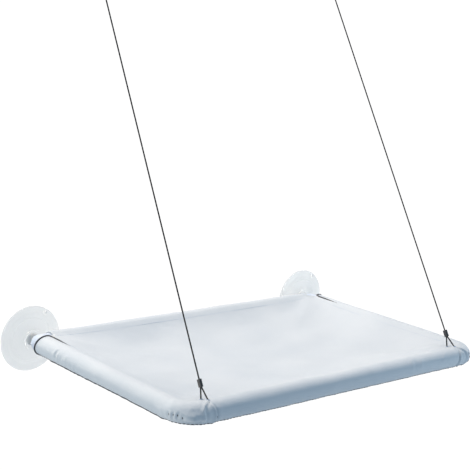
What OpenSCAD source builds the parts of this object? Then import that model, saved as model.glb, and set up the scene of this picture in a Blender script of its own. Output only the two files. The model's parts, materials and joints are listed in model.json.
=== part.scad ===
// Window cat hammock: a cloth sling on a tube frame, held to the glass by four suction cups.
// The origin is on the glass, midway between the two lower cups.
// X runs along the glass, +Y points into the glass and +Z is up. Sizes are in millimetres.

/* [Tray frame] */
// Distance between the centres of the two side tubes
tray_w = 530; // [420:5:700]
// Distance between the centres of the front and back tubes
tray_d = 335; // [250:5:450]
// Outside diameter of the frame tubes
tube_od = 25; // [20:0.5:30]
// Wall of the frame tubes
tube_wall = 1.8; // [1.2:0.1:2.5]
// Centreline radius of the front corner bends
bend_r = 26; // [24:1:40]
// Distance from the glass to the centre of the back tube
window_gap = 28; // [26:0.5:45]

/* [Corner fittings] */
// Straight collar between an elbow's bend and its tube
collar_len = 10; // [8:0.5:20]
// Length of a spigot inside its tube
spigot_len = 26; // [15:1:40]
// Radial clearance of a spigot in its tube
spigot_gap = 0.08; // [0.05:0.01:0.2]
// Wall of the hollow fittings
fitting_wall = 2.4; // [1.6:0.1:3]
// Length of a back corner's arms, from the ball's centre to the tube
socket_arm = 18; // [15:0.5:30]
// Depth of the groove that keeps a cable loop in place on its elbow
groove_depth = 2.3; // [2.1:0.1:2.6]
// Room on each side of the loop in its groove
groove_room = 0.4; // [0.3:0.05:1]
// Furthest that the tray is lifted from rest, in degrees
lift_angle = 60; // [20:1:60]

/* [Cloth] */
// Thickness of the lined cloth
cloth_t = 2; // [1:0.1:4]
// Room between the tubes and the cloth round them
cloth_gap = 0.4; // [0.3:0.05:1]
// Depth of the sling's hollow below its edges
deck_sag = 34; // [5:1:60]
// Distance from an edge in which the sling makes two thirds of its drop
edge_run = 45; // [30:1:120]
// Height of the tension folds that run to the corners
fold_h = 3; // [0:0.5:6]
// Radius of the sling panel's front corners, which clear the cables
deck_front_r = 59; // [57:1:90]
// Radius of the sling panel's back corners
deck_back_r = 24; // [20:1:60]
// Where a sleeve's upper edge is sewn to the sling, in degrees from upright
seam_top_angle = 30; // [20:1:40]
// Where a sleeve's lower edge is sewn to the sling, in degrees from upright
seam_low_angle = 70; // [62:1:85]
// Straight length of a corner cover past its bend
corner_leg = 20; // [14:1:40]
// Open width left at each sewn seam
seam_gap = 0.3; // [0.2:0.05:1]
// Room between the two sleeves' ends at a back corner, where the ball fitting shows
sleeve_room = 1.1; // [0.6:0.1:6]
// Room on each side of a cable strand where it comes through the cloth
strand_room = 0.7; // [0.4:0.1:2]

/* [Suction cups] */
// Diameter of a cup on the glass
cup_d = 95; // [80:1:120]
// Thickness of a cup's rim
lip_t = 2.2; // [1.4:0.1:3]
// Height of a cup's hub above the glass
cup_h = 11; // [9:0.5:12]
// Diameter of the hub's face
hub_d = 28; // [22:1:34]
// Width of the flare at the foot of the hub
hub_flare = 5; // [2:0.5:8]
// Height of the dome in the middle of a cup
dome_h = 8; // [6:0.5:10]
// Share of the cup's diameter that the dome takes up
dome_share = 0.8; // [0.75:0.01:0.82]
// Share of the cup's diameter that the hollow for the vacuum takes up
hollow_share = 0.69; // [0.6:0.01:0.72]
// Depth of that hollow
hollow_h = 3; // [1:0.1:4]
// Share of the cup's diameter that the ring across the dome has
ring_share = 0.65; // [0.6:0.01:0.68]
// Thickness of that ring
ring_t = 2.4; // [1:0.1:4]
// Diameter of the small release tab near the rim
tab_d = 5; // [3:0.2:5.4]
// Height of the tab, up to its round end
tab_h = 4; // [2:0.2:8]
// Place of the tab round the cup, in degrees from +X
tab_angle = 60; // [0:5:355]

/* [Ball studs of the lower cups] */
// Diameter of the ball
ball_d = 14; // [10:0.5:16]
// Diameter of the neck
neck_d = 8; // [6:0.5:9]
// Diameter of the flange moulded into the hub
flange_d = 18; // [12:0.5:24]
// Thickness of the flange
flange_t = 3; // [2:0.2:4]
// Distance from the glass to the flange
flange_seat = 4.6; // [4.4:0.1:6]
// Clearance round a ball and its neck
ball_gap = 0.3; // [0.2:0.05:0.6]
// Clearance of a moulded-in stud in its hub
mould_gap = 0.05; // [0.02:0.01:0.1]

/* [Upper hangers] */
// Height of the upper cups above the lower ones
hang_h = 600; // [450:5:800]
// Distance between the two upper cups
hang_w = 432; // [300:2:600]
// Diameter of the screw in an upper cup
screw_d = 6; // [4:0.5:8]
// Clearance round the screw
screw_gap = 0.05; // [0.02:0.01:0.1]
// Outside diameter of the spool that carries the cable's eye
spool_d = 10; // [9:0.5:12]
// Length of the spool
spool_len = 14; // [13:0.5:20]
// Distance from the hub's face to the middle of the eye
eye_seat = 5.4; // [5:0.1:8]
// Diameter of the washer between the spool and the knob
washer_d = 16; // [12:0.5:20]
// Thickness of that washer
washer_t = 1.2; // [0.8:0.1:2]
// Diameter of the knob across its lobes
knob_d = 26; // [20:1:32]
// Height of the knob
knob_h = 15; // [12:0.5:20]
// Diameter of the finger scallops in the knob
scallop_d = 8; // [5:0.5:10]
// Depth of the scallops
scallop_depth = 2; // [1:0.1:3]
// Number of scallops
scallops = 8; // [5:1:12]
// Radius of the knob's crowned top
crown_r = 24; // [20:1:40]
// Depth of the knob's blind bore
knob_bore = 11; // [8:0.5:14]
// Play under the knob
knob_play = 0.2; // [0.1:0.05:0.5]

/* [Cables] */
// Diameter of the wire
wire_d = 2; // [1.5:0.1:2.2]
// Gap between the wire and what it goes round
wire_gap = 0.15; // [0.1:0.05:0.3]
// Distance from the tube's centre to the lower ferrule
loop_len = 30; // [28:1:50]
// Distance from the spool's centre to the upper ferrule
eye_len = 24; // [22:1:40]
// Length of a crimped ferrule
ferrule_len = 10; // [6:0.5:16]
// Wall of a ferrule
ferrule_wall = 1.4; // [0.8:0.1:2]
// Gap between the two strands in a ferrule
strand_gap = 0.1; // [0.05:0.05:0.4]
// Gap between a lower ferrule and the free cable
cable_gap = 0.2; // [0.1:0.05:0.5]

/* [Hidden] */
$fn = 64;
// Overrun of every cut
cut = 1;
// Step between a slot's walls and its round ends
slot_step = 0.2;

// Radii and places that follow from the sizes above
tube_r = tube_od / 2;
bore_r = tube_r - tube_wall;
spigot_r = bore_r - spigot_gap;
fitting_r = spigot_r - fitting_wall;
groove_r = tube_r - groove_depth;
cloth_in_r = tube_r + cloth_gap;
cloth_r = cloth_in_r + cloth_t;
sleeve_end = cloth_r + sleeve_room;
side_x = tray_w / 2;
back_y = -window_gap;
front_y = back_y - tray_d;
middle_y = (front_y + back_y) / 2;
cup_r = cup_d / 2;
dome_r = cup_r * dome_share;
hollow_r = cup_r * hollow_share;
ring_r = cup_r * ring_share;
tab_place = (dome_r + cup_r - lip_t / 2) / 2;
hub_r = hub_d / 2;
ball_r = ball_d / 2;
neck_r = neck_d / 2;
screw_r = screw_d / 2;
spool_r = spool_d / 2;
knob_r = knob_d / 2;
wire_r = wire_d / 2;
spool_end = cup_h + spool_len;
knob_seat = spool_end + washer_t + knob_play;
screw_len = knob_seat + knob_bore - cut;

// The line of the left cable, from the centre of its elbow's groove to the centre of its spool
groove_in = bend_r + collar_len / 2;
cable_foot = [groove_in - side_x, front_y, 0];
cable_head = [-hang_w / 2, -cup_h - eye_seat, hang_h];
cable_run = cable_head - cable_foot;
cable_len = norm(cable_run);
cable_pitch = atan2(cable_run.y, cable_run.z);
cable_tip = asin(cable_run.x / cable_len);
strand_x = wire_r + strand_gap / 2;
loop_r = groove_r + wire_gap + wire_r;
eye_r = (spool_r + wire_gap + wire_r) / cos(cable_pitch);
groove_w = wire_d + 2 * groove_room + 2 * (loop_r + wire_r) * tan(abs(cable_tip));
slit_w = wire_d + 2 * strand_room;
slit_len = 2 * (loop_r + strand_room);

// The outline of the sling panel, measured from its middle
deck_inset = cloth_r * sin(seam_top_angle) + seam_gap;
deck_half = [side_x - deck_inset, tray_d / 2 - deck_inset];
deck_edge_z = cloth_r * cos(seam_top_angle);
arc_steps = 5;
edge_steps = [12, 8];
deck_rings = 9;
fold_sharpness = 6;

// Steps round a wire loop and sides of its wire
loop_steps = 22;
wire_sides = 10;

// Turns the children so that their Z runs along +X, their X along +Y and their Y along +Z
module along_x() {
    rotate([90, 0, 90])
        children();
}

// Turns the children so that their Z runs along -Y, away from the glass, and their Y along +Z
module off_glass() {
    rotate([90, 0, 0])
        children();
}

// The mirror image on the other side of the tray
module other_side() {
    mirror([1, 0, 0])
        children();
}

module pipe(length, outer_r, inner_r) {
    difference() {
        cylinder(h = length, r = outer_r);
        translate([0, 0, -cut])
            cylinder(h = length + 2 * cut, r = inner_r);
    }
}

// Frame tubes
module cross_tube(y, half) {
    translate([-half, y, 0])
        along_x()
            pipe(2 * half, tube_r, bore_r);
}

module front_tube() {
    color("whitesmoke")
        cross_tube(front_y, side_x - bend_r - collar_len);
}

module back_tube() {
    color("whitesmoke")
        cross_tube(back_y, side_x - socket_arm);
}

module left_tube() {
    color("whitesmoke")
        translate([-side_x, back_y - socket_arm, 0])
            off_glass()
                pipe(tray_d - socket_arm - bend_r - collar_len, tube_r, bore_r);
}

module right_tube() {
    other_side()
        left_tube();
}

// Front elbows
module quarter_bend(r) {
    rotate([0, 0, 180])
        rotate_extrude(angle = 90)
            translate([bend_r, 0])
                circle(r = r);
}

module arm(plain_len) {
    cylinder(h = plain_len, r = tube_r);
    cylinder(h = plain_len + spigot_len, r = spigot_r);
}

// Places the children at both ends of the left bend, each with its Z along that leg
module bend_legs() {
    translate([0, -bend_r, 0])
        along_x()
            children();
    translate([-bend_r, 0, 0])
        rotate([-90, 0, 0])
            children();
}

module groove() {
    translate([collar_len / 2 - groove_w / 2, -bend_r, 0])
        along_x()
            pipe(groove_w, tube_r + cut, groove_r);
}

module front_left_elbow() {
    color("gainsboro")
        translate([bend_r - side_x, front_y + bend_r, 0])
            difference() {
                union() {
                    quarter_bend(tube_r);
                    bend_legs()
                        arm(collar_len);
                }
                quarter_bend(fitting_r);
                bend_legs()
                    cylinder(h = collar_len + spigot_len + cut, r = fitting_r);
                groove();
            }
}

module front_right_elbow() {
    other_side()
        front_left_elbow();
}

// Back corner fittings, with the cavity for a cup's ball and the slot that its neck swings in
module neck_slot(r, reach) {
    along_x() {
        rotate_extrude(angle = lift_angle)
            translate([0, -r - slot_step])
                square([reach, 2 * (r + slot_step)]);
        for (a = [0, lift_angle])
            rotate([0, 0, a])
                rotate([0, 90, 0])
                    cylinder(h = reach, r = r);
    }
}

module arm_bore() {
    start = ball_r + ball_gap + fitting_wall;
    translate([0, 0, start])
        cylinder(h = socket_arm + spigot_len - start + cut, r = fitting_r);
}

// A fitting whose back tube lies on the given side of its ball
module back_socket(tube_side) {
    turn = tube_side > 0 ? 0 : 180;
    difference() {
        union() {
            sphere(r = tube_r);
            rotate([0, 0, turn])
                along_x()
                    arm(socket_arm);
            off_glass()
                arm(socket_arm);
        }
        sphere(r = ball_r + ball_gap);
        neck_slot(neck_r + ball_gap, tube_r + cut);
        rotate([0, 0, turn])
            along_x()
                arm_bore();
        off_glass()
            arm_bore();
    }
}

module back_left_socket() {
    color("gainsboro")
        translate([-side_x, back_y, 0])
            back_socket(1);
}

module back_right_socket() {
    color("gainsboro")
        translate([side_x, back_y, 0])
            back_socket(-1);
}

// The sling panel, a dished sheet of cloth with a tension fold to each corner
function corner_r(q) = q < 2 ? deck_back_r : deck_front_r;
function corner_middle(q) = [
    (q == 0 || q == 3 ? 1 : -1) * (deck_half.x - corner_r(q)),
    (q < 2 ? 1 : -1) * (deck_half.y - corner_r(q))
];
function arc_point(q, k) =
    let (a = 90 * (q + k / arc_steps))
    corner_middle(q % 4) + corner_r(q % 4) * [cos(a), sin(a)];
deck_outline = [
    for (q = [0 : 3])
        each concat(
            [for (k = [0 : arc_steps]) arc_point(q, k)],
            [
                for (k = [1 : edge_steps[q % 2] - 1])
                    let (t = k / edge_steps[q % 2])
                    (1 - t) * arc_point(q, arc_steps) + t * arc_point(q + 1, 0)
            ]
        )
];
deck_sides = len(deck_outline);
function fold_at(p) = pow(max(0, -cos(4 * atan2(p.y / deck_half.y, p.x / deck_half.x))), fold_sharpness);
function drop_share(inset) = 1 - exp(-max(inset, 0) / edge_run);
function hollow_at(q) =
    deck_sag * drop_share(deck_half.x - abs(q.x)) * drop_share(deck_half.y - abs(q.y));
function deck_z(p, r) =
    deck_edge_z - hollow_at(p * r) + fold_h * 4 * r * r * (1 - r * r) * fold_at(p);
function deck_layer(drop) = concat(
    [[0, middle_y, deck_edge_z - hollow_at([0, 0]) - drop]],
    [
        for (k = [1 : deck_rings], p = deck_outline)
            let (r = k / deck_rings)
            [p.x * r, middle_y + p.y * r, deck_z(p, r) - drop]
    ]
);
function ring_point(k, j) = 1 + (k - 1) * deck_sides + j % deck_sides;
deck_top_faces = concat(
    [for (j = [0 : deck_sides - 1]) [0, ring_point(1, j + 1), ring_point(1, j)]],
    [
        for (k = [1 : deck_rings - 1], j = [0 : deck_sides - 1])
            each [
                [ring_point(k, j), ring_point(k, j + 1), ring_point(k + 1, j)],
                [ring_point(k, j + 1), ring_point(k + 1, j + 1), ring_point(k + 1, j)]
            ]
    ]
);
deck_count = 1 + deck_rings * deck_sides;
deck_low_faces = [for (f = deck_top_faces) [f[2] + deck_count, f[1] + deck_count, f[0] + deck_count]];
deck_rim_faces = [
    for (j = [0 : deck_sides - 1])
        let (a = ring_point(deck_rings, j), b = ring_point(deck_rings, j + 1))
        each [[a, b, b + deck_count], [a, b + deck_count, a + deck_count]]
];

module sling_panel() {
    color("lightsteelblue")
        polyhedron(
            points = concat(deck_layer(0), deck_layer(cloth_t)),
            faces = concat(deck_top_faces, deck_low_faces, deck_rim_faces)
        );
}

// The cloth round a tube, in section. X points in over the sling, and the sling fills the open seam
module sleeve_section() {
    reach = 2 * cloth_r;
    difference() {
        circle(r = cloth_r);
        circle(r = cloth_in_r);
        polygon([
            [0, 0],
            reach * [sin(seam_top_angle), cos(seam_top_angle)],
            reach * [sin(seam_low_angle), cos(seam_low_angle)]
        ]);
    }
}

module front_sleeve() {
    half = side_x - bend_r - corner_leg - seam_gap;
    color("lightsteelblue")
        translate([-half, front_y, 0])
            along_x()
                linear_extrude(2 * half)
                    sleeve_section();
}

module back_sleeve() {
    half = side_x - sleeve_end;
    color("lightsteelblue")
        translate([-half, back_y, 0])
            mirror([0, 1, 0])
                along_x()
                    linear_extrude(2 * half)
                        sleeve_section();
}

module left_sleeve() {
    start = back_y - sleeve_end;
    color("lightsteelblue")
        translate([-side_x, start, 0])
            off_glass()
                linear_extrude(start - front_y - bend_r - corner_leg - seam_gap)
                    sleeve_section();
}

module right_sleeve() {
    other_side()
        left_sleeve();
}

// The slit in a corner cover that both strands of the cable's loop come out of
module cable_slit() {
    on_cable_foot()
        translate([-slit_len / 2, -slit_w / 2, loop_r / 2])
            cube([slit_len, slit_w, cloth_r]);
}

module front_left_corner_cover() {
    color("lightsteelblue")
        difference() {
            translate([bend_r - side_x, front_y + bend_r, 0]) {
                rotate([0, 0, 180])
                    rotate_extrude(angle = 90)
                        translate([bend_r, 0])
                            mirror([1, 0])
                                sleeve_section();
                translate([0, -bend_r, 0])
                    along_x()
                        linear_extrude(corner_leg)
                            sleeve_section();
                translate([-bend_r, corner_leg, 0])
                    off_glass()
                        linear_extrude(corner_leg)
                            sleeve_section();
            }
            cable_slit();
        }
}

module front_right_corner_cover() {
    other_side()
        front_left_corner_cover();
}

// Suction cups, drawn with Z along the axis and the glass at zero
module dome_section(edge_r, height) {
    rise_r = (edge_r * edge_r + height * height) / (2 * height);
    intersection() {
        translate([0, height - rise_r])
            circle(r = rise_r);
        square([edge_r, height]);
    }
}

module cup_section() {
    square([cup_r - lip_t / 2, lip_t]);
    translate([cup_r - lip_t / 2, lip_t / 2])
        circle(r = lip_t / 2);
    translate([0, lip_t])
        dome_section(dome_r, dome_h - lip_t);
    translate([ring_r, lip_t])
        circle(r = ring_t);
    polygon([[0, 0], [hub_r + hub_flare, lip_t], [hub_r, dome_h], [hub_r, cup_h], [0, cup_h]]);
}

module cup(stem_r) {
    off_glass() {
        rotate_extrude()
            difference() {
                intersection() {
                    cup_section();
                    square([cup_r, cup_h]);
                }
                dome_section(hollow_r, hollow_h);
                translate([0, flange_seat])
                    square([flange_d / 2 + mould_gap, flange_t]);
                translate([0, flange_seat])
                    square([stem_r + mould_gap, cup_h]);
            }
        rotate([0, 0, tab_angle])
            translate([tab_place, 0, lip_t / 2]) {
                cylinder(h = tab_h, d = tab_d);
                translate([0, 0, tab_h])
                    sphere(d = tab_d);
            }
    }
}

module at_lower_left() {
    translate([-side_x, 0, 0])
        children();
}

module at_lower_right() {
    translate([side_x, 0, 0])
        children();
}

module at_upper_left() {
    translate([-hang_w / 2, 0, hang_h])
        children();
}

module at_upper_right() {
    translate([hang_w / 2, 0, hang_h])
        children();
}

module lower_left_cup() {
    color("honeydew")
        at_lower_left()
            cup(neck_r);
}

module lower_right_cup() {
    color("honeydew")
        at_lower_right()
            cup(neck_r);
}

module upper_left_cup() {
    color("honeydew")
        at_upper_left()
            cup(screw_r);
}

module upper_right_cup() {
    color("honeydew")
        at_upper_right()
            cup(screw_r);
}

// The flange and stem of a stud, from its seat in the hub
module stud_section(stem_r, stem_end) {
    translate([0, flange_seat]) {
        square([flange_d / 2, flange_t]);
        square([stem_r, stem_end - flange_seat]);
    }
}

module ball_stud() {
    off_glass()
        rotate_extrude() {
            stud_section(neck_r, window_gap);
            translate([0, window_gap])
                intersection() {
                    circle(r = ball_r);
                    translate([0, -ball_r])
                        square([ball_r, ball_d]);
                }
        }
}

module lower_left_ball_stud() {
    color("lightgray")
        at_lower_left()
            ball_stud();
}

module lower_right_ball_stud() {
    color("lightgray")
        at_lower_right()
            ball_stud();
}

// Upper hangers
module screw() {
    off_glass()
        rotate_extrude()
            stud_section(screw_r, screw_len);
}

module upper_left_screw() {
    color("silver")
        at_upper_left()
            screw();
}

module upper_right_screw() {
    color("silver")
        at_upper_right()
            screw();
}

module spool() {
    off_glass()
        translate([0, 0, cup_h])
            pipe(spool_len, spool_r, screw_r + screw_gap);
}

module left_spool() {
    color("gainsboro")
        at_upper_left()
            spool();
}

module right_spool() {
    color("gainsboro")
        at_upper_right()
            spool();
}

module washer() {
    off_glass()
        translate([0, 0, spool_end])
            pipe(washer_t, washer_d / 2, screw_r + screw_gap);
}

module left_washer() {
    color("silver")
        at_upper_left()
            washer();
}

module right_washer() {
    color("silver")
        at_upper_right()
            washer();
}

module knob() {
    off_glass()
        translate([0, 0, knob_seat])
            difference() {
                intersection() {
                    linear_extrude(knob_h)
                        difference() {
                            circle(r = knob_r);
                            for (i = [1 : scallops])
                                rotate(i * 360 / scallops)
                                    translate([knob_r + scallop_d / 2 - scallop_depth, 0])
                                        circle(d = scallop_d);
                        }
                    translate([0, 0, knob_h - crown_r])
                        sphere(r = crown_r);
                }
                translate([0, 0, -cut])
                    cylinder(h = knob_bore + cut, r = screw_r + screw_gap);
            }
}

module left_knob() {
    color("white")
        at_upper_left()
            knob();
}

module right_knob() {
    color("white")
        at_upper_right()
            knob();
}

// Cables. The foot's and head's frames have Z along the cable, and the loop in their XZ plane
module along_cable() {
    rotate([-cable_pitch, 0, 0])
        rotate([0, cable_tip, 0])
            children();
}

module on_cable_foot() {
    translate(cable_foot)
        along_cable()
            rotate([0, 0, 90])
                children();
}

module on_cable_head() {
    translate(cable_head)
        along_cable()
            rotate([180, 0, 0])
                children();
}

// A wire loop of the given radius round the origin, whose strands meet in a ferrule.
// Its path goes down one strand, round the loop and up the other, as points in X and Z
function loop_touch(r, reach) = atan2(strand_x, reach) + acos(r / norm([strand_x, reach]));
function loop_path(r, reach) =
    let (touch = loop_touch(r, reach))
    concat(
        [[-strand_x, reach + ferrule_len], [-strand_x, reach]],
        [
            for (k = [0 : loop_steps])
                let (a = -touch - (360 - 2 * touch) * k / loop_steps)
                r * [sin(a), cos(a)]
        ],
        [[strand_x, reach], [strand_x, reach + ferrule_len]]
    );
function path_side(path, i) =
    let (d = path[min(i + 1, len(path) - 1)] - path[max(i - 1, 0)])
    [-d.y, d.x] / norm(d);
function wire_ring(path, i) =
    let (side = path_side(path, i))
    [
        for (j = [0 : wire_sides - 1])
            let (a = 360 * j / wire_sides)
            let (p = path[i] + wire_r * cos(a) * side)
            [p.x, wire_r * sin(a), p.y]
    ];
function ring_index(i, j) = i * wire_sides + j % wire_sides;

module wire_loop(r, reach) {
    path = loop_path(r, reach);
    last = len(path) - 1;
    polyhedron(
        points = [for (i = [0 : last]) each wire_ring(path, i)],
        faces = concat(
            [
                for (i = [0 : last - 1], j = [0 : wire_sides - 1])
                    each [
                        [ring_index(i, j + 1), ring_index(i + 1, j + 1), ring_index(i + 1, j)],
                        [ring_index(i, j + 1), ring_index(i + 1, j), ring_index(i, j)]
                    ]
            ],
            [for (j = [1 : wire_sides - 2]) [0, j + 1, j]],
            [
                for (j = [1 : wire_sides - 2])
                    [ring_index(last, 0), ring_index(last, j), ring_index(last, j + 1)]
            ]
        )
    );
}

module oval(r) {
    for (side = [-1, 1])
        translate([side * strand_x, 0])
            circle(r = r);
    translate([-strand_x, -r])
        square([2 * strand_x, 2 * r]);
}

module ferrule(reach) {
    bore = wire_r + mould_gap;
    translate([0, 0, reach + wire_r])
        linear_extrude(ferrule_len - wire_r)
            difference() {
                oval(bore + ferrule_wall);
                oval(bore);
            }
}

module left_cable() {
    start = loop_len + ferrule_len + cable_gap;
    color("dimgray")
        on_cable_foot()
            translate([0, 0, start])
                cylinder(h = cable_len - start - eye_len - ferrule_len, r = wire_r);
}

module right_cable() {
    other_side()
        left_cable();
}

module left_lower_loop() {
    color("dimgray")
        on_cable_foot()
            wire_loop(loop_r, loop_len);
}

module right_lower_loop() {
    other_side()
        left_lower_loop();
}

module left_lower_ferrule() {
    color("gray")
        on_cable_foot()
            ferrule(loop_len);
}

module right_lower_ferrule() {
    other_side()
        left_lower_ferrule();
}

module left_upper_eye() {
    color("dimgray")
        on_cable_head()
            wire_loop(eye_r, eye_len);
}

module right_upper_eye() {
    other_side()
        left_upper_eye();
}

module left_upper_ferrule() {
    color("gray")
        on_cable_head()
            ferrule(eye_len);
}

module right_upper_ferrule() {
    other_side()
        left_upper_ferrule();
}

front_tube();
back_tube();
left_tube();
right_tube();
front_left_elbow();
front_right_elbow();
back_left_socket();
back_right_socket();
sling_panel();
front_sleeve();
back_sleeve();
left_sleeve();
right_sleeve();
front_left_corner_cover();
front_right_corner_cover();
lower_left_cup();
lower_right_cup();
lower_left_ball_stud();
lower_right_ball_stud();
upper_left_cup();
upper_right_cup();
upper_left_screw();
upper_right_screw();
left_spool();
right_spool();
left_washer();
right_washer();
left_knob();
right_knob();
left_cable();
right_cable();
left_lower_loop();
right_lower_loop();
left_lower_ferrule();
right_lower_ferrule();
left_upper_eye();
right_upper_eye();
left_upper_ferrule();
right_upper_ferrule();
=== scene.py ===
import json
import math

import bpy
import numpy as np
from mathutils import Matrix, Vector


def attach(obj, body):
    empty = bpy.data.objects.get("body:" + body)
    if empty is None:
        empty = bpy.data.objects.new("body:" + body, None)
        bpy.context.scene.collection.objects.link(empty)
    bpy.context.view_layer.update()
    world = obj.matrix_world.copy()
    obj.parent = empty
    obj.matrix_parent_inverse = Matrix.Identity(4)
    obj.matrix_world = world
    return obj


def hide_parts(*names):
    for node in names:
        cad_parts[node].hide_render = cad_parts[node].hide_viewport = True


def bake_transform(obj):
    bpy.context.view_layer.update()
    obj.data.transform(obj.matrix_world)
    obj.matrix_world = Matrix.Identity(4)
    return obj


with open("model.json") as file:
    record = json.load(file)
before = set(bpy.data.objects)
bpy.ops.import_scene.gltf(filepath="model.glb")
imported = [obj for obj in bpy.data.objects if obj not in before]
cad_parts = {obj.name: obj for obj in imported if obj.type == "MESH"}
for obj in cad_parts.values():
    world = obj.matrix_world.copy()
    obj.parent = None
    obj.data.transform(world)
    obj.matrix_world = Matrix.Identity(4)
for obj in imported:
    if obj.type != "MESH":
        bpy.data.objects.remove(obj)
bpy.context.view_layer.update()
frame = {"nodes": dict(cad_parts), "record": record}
scene = bpy.context.scene

# Sizes of the part, in millimetres, as in the CAD source
MM = 0.001
SIDE_X = 265.0
BACK_Y = -28.0
FRONT_Y = -363.0
MIDDLE_Y = (BACK_Y + FRONT_Y) / 2
BEND_R = 26.0
SLEEVE_END = 16.0
DECK_SAG = 34.0
EDGE_RUN = 45.0
WIRE_R = 1.0
LOOP_R = 11.35
LOOP_LEN = 30.0
EYE_LEN = 24.0
EYE_R = 7.10
FERRULE_LEN = 10.0
STRAND_X = 1.05
CABLE_FOOT = np.array([-234.0, FRONT_Y, 0.0])
CABLE_HEAD = np.array([-216.0, -16.4, 600.0])
CABLE_START = 40.2
CABLE_END_GAP = 34.0
# The cloth as drawn, which is thinner than the CAD cloth and starts a little inside its face
CLOTH_R = 14.7
CLOTH_T = 1.2
SEAM_TOP = math.radians(30)
SEAM_LOW = math.radians(62)

# Camera, at the photograph's viewing angle
CAMERA_PLACE = Vector((-1.1150, -1.3980, 0.4919))
CAMERA_AIM = Vector((0.6460, 0.7378, -0.1958)).normalized()
CAMERA_ROLL = math.radians(4.0)
CAMERA_LENS = 90.13
CAMERA_SENSOR = 36.0
CAMERA_FAR = 200.0


def make_camera():
    data = bpy.data.cameras.new("camera")
    data.lens = CAMERA_LENS
    data.sensor_width = CAMERA_SENSOR
    data.clip_end = CAMERA_FAR
    camera = bpy.data.objects.new("camera", data)
    right = CAMERA_AIM.cross(Vector((0, 0, 1))).normalized()
    up = right.cross(CAMERA_AIM)
    turned_right = math.cos(CAMERA_ROLL) * right + math.sin(CAMERA_ROLL) * up
    turned_up = -math.sin(CAMERA_ROLL) * right + math.cos(CAMERA_ROLL) * up
    turn = Matrix((turned_right, turned_up, -CAMERA_AIM)).transposed()
    camera.matrix_world = Matrix.Translation(CAMERA_PLACE) @ turn.to_4x4()
    scene.collection.objects.link(camera)
    scene.camera = camera


make_camera()
scene.view_settings.view_transform = "Standard"


# Mesh helpers, which take millimetres and make metres
def add_mesh(name, points, faces):
    mesh = bpy.data.meshes.new(name)
    mesh.from_pydata((np.asarray(points) * MM).tolist(), [], [list(f) for f in faces])
    mesh.polygons.foreach_set("use_smooth", np.full(len(mesh.polygons), True))
    mesh.update()
    piece = bpy.data.objects.new(name, mesh)
    scene.collection.objects.link(piece)
    return piece


def unit(v):
    return v / np.linalg.norm(v)


def grid_faces(rows, columns, start=0):
    """Faces between rows of points that each go round a tube."""
    faces = []
    for i in range(rows - 1):
        for j in range(columns):
            a = start + i * columns + j
            b = start + i * columns + (j + 1) % columns
            faces.append((a, b, b + columns, a + columns))
    return faces


# A direction that no path here follows
OFF_AXIS = (0.31, 0.52, 0.79)


def path_frames(path):
    """Two sides of a path, square to it, that turn as little as they can along it."""
    tangents = np.gradient(path, axis=0)
    tangents /= np.linalg.norm(tangents, axis=1)[:, None]
    side = np.cross(tangents[0], OFF_AXIS)
    sides = []
    for t in tangents:
        side = unit(side - t * np.dot(side, t))
        sides.append(side)
    sides = np.array(sides)
    return sides, np.cross(tangents, sides)


# Wire rope, a tube whose six strands wind round it
ROPE_SIDES = 24
ROPE_STRANDS = 6
ROPE_LAY = 13.0
ROPE_GROOVE = 0.17


def rope_tube(path, r):
    """Points and faces of a rope along a path, with its ends closed."""
    path = np.asarray(path, float)
    side_a, side_b = path_frames(path)
    along = np.concatenate([[0], np.cumsum(np.linalg.norm(np.diff(path, axis=0), axis=1))])
    points = []
    for p, a, b, s in zip(path, side_a, side_b, along):
        for j in range(ROPE_SIDES):
            angle = 2 * math.pi * j / ROPE_SIDES
            lobe = abs(math.cos(ROPE_STRANDS / 2 * (angle - 2 * math.pi * s / ROPE_LAY)))
            reach = r * (1 - ROPE_GROOVE * (1 - lobe))
            points.append(p + reach * (math.cos(angle) * a + math.sin(angle) * b))
    faces = grid_faces(len(path), ROPE_SIDES)
    last = (len(path) - 1) * ROPE_SIDES
    faces.append(tuple(range(ROPE_SIDES - 1, -1, -1)))
    faces.append(tuple(range(last, last + ROPE_SIDES)))
    return points, faces


def mirrored(points, side):
    return np.asarray(points, float) * np.array([side, 1.0, 1.0])


def add_rope(name, path, side):
    """A rope along a path that is given for the left and mirrored for the right."""
    points, faces = rope_tube(mirrored(path, side), WIRE_R)
    return add_mesh(name, points, faces)


CABLE_LINE = unit(CABLE_HEAD - CABLE_FOOT)
CABLE_LENGTH = float(np.linalg.norm(CABLE_HEAD - CABLE_FOOT))
CABLE_STOP = CABLE_LENGTH - CABLE_END_GAP
CABLE_STEP = 1.5
SIDES = (("left", 1.0), ("right", -1.0))

cables = {}
cable_steps = np.append(np.arange(CABLE_START, CABLE_STOP, CABLE_STEP), CABLE_STOP)
route = CABLE_FOOT + cable_steps[:, None] * CABLE_LINE
for word, side in SIDES:
    cables[word] = add_rope(word + "_wire_rope", route, side)

# Wire loops. The lower one is round the elbow's groove and the upper one round the spool
CABLE_BACK = unit(np.array([0.0, CABLE_LINE[2], -CABLE_LINE[1]]))
CABLE_SIDE = np.cross(CABLE_BACK, CABLE_LINE)
RING_POINTS = 72
STRAND_POINTS = 22
TAIL_POINTS = 8
TAIL_SHORT = 1.0


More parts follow.
